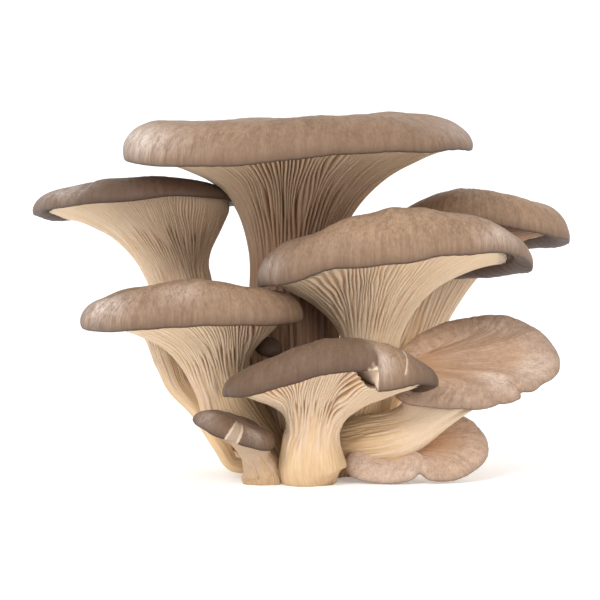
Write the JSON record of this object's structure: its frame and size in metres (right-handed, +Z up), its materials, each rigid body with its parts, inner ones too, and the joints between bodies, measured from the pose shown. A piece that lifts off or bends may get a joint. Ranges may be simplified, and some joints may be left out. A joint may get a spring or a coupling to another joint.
{
  "type": "oyster mushroom cluster",
  "caption": "Cluster of oyster mushrooms: overlapping grey-brown caps with rolled rims and cream gills that run down stems joined in one cut root.",
  "frame": {"origin": "middle of the flat cut under the root, on the surface that the cluster stands on", "axes": "+Z up, -Y to the front where the short thick stem stands, +X to the right along the widest spread of the caps"},
  "size_m": [0.147, 0.0971, 0.0984],
  "materials": {
    "cap_skin": "matte",
    "gills_and_stem": "matte",
    "root_flesh": "matte"
  },
  "bodies": {
    "root": {"root": "root_flesh", "stem_front": "gills_and_stem", "cap_front": "cap_skin", "stem_small": "gills_and_stem", "cap_small": "cap_skin", "stem_left_middle": "gills_and_stem", "cap_left_middle": "cap_skin", "stem_centre": "gills_and_stem", "cap_centre": "cap_skin", "stem_tall": "gills_and_stem", "cap_tall": "cap_skin", "stem_left_upper": "gills_and_stem", "cap_left_upper": "cap_skin", "stem_right_fan": "gills_and_stem", "cap_right_fan": "cap_skin", "stem_right_upper": "gills_and_stem", "cap_right_upper": "cap_skin", "stem_right_lower": "gills_and_stem", "cap_right_lower": "cap_skin", "stem_left_hidden": "gills_and_stem", "cap_left_hidden": "cap_skin", "stem_pin_rear": "gills_and_stem", "cap_pin_rear": "cap_skin", "stem_pin_inner": "gills_and_stem", "cap_pin_inner": "cap_skin"}
  },
  "joints": []
}
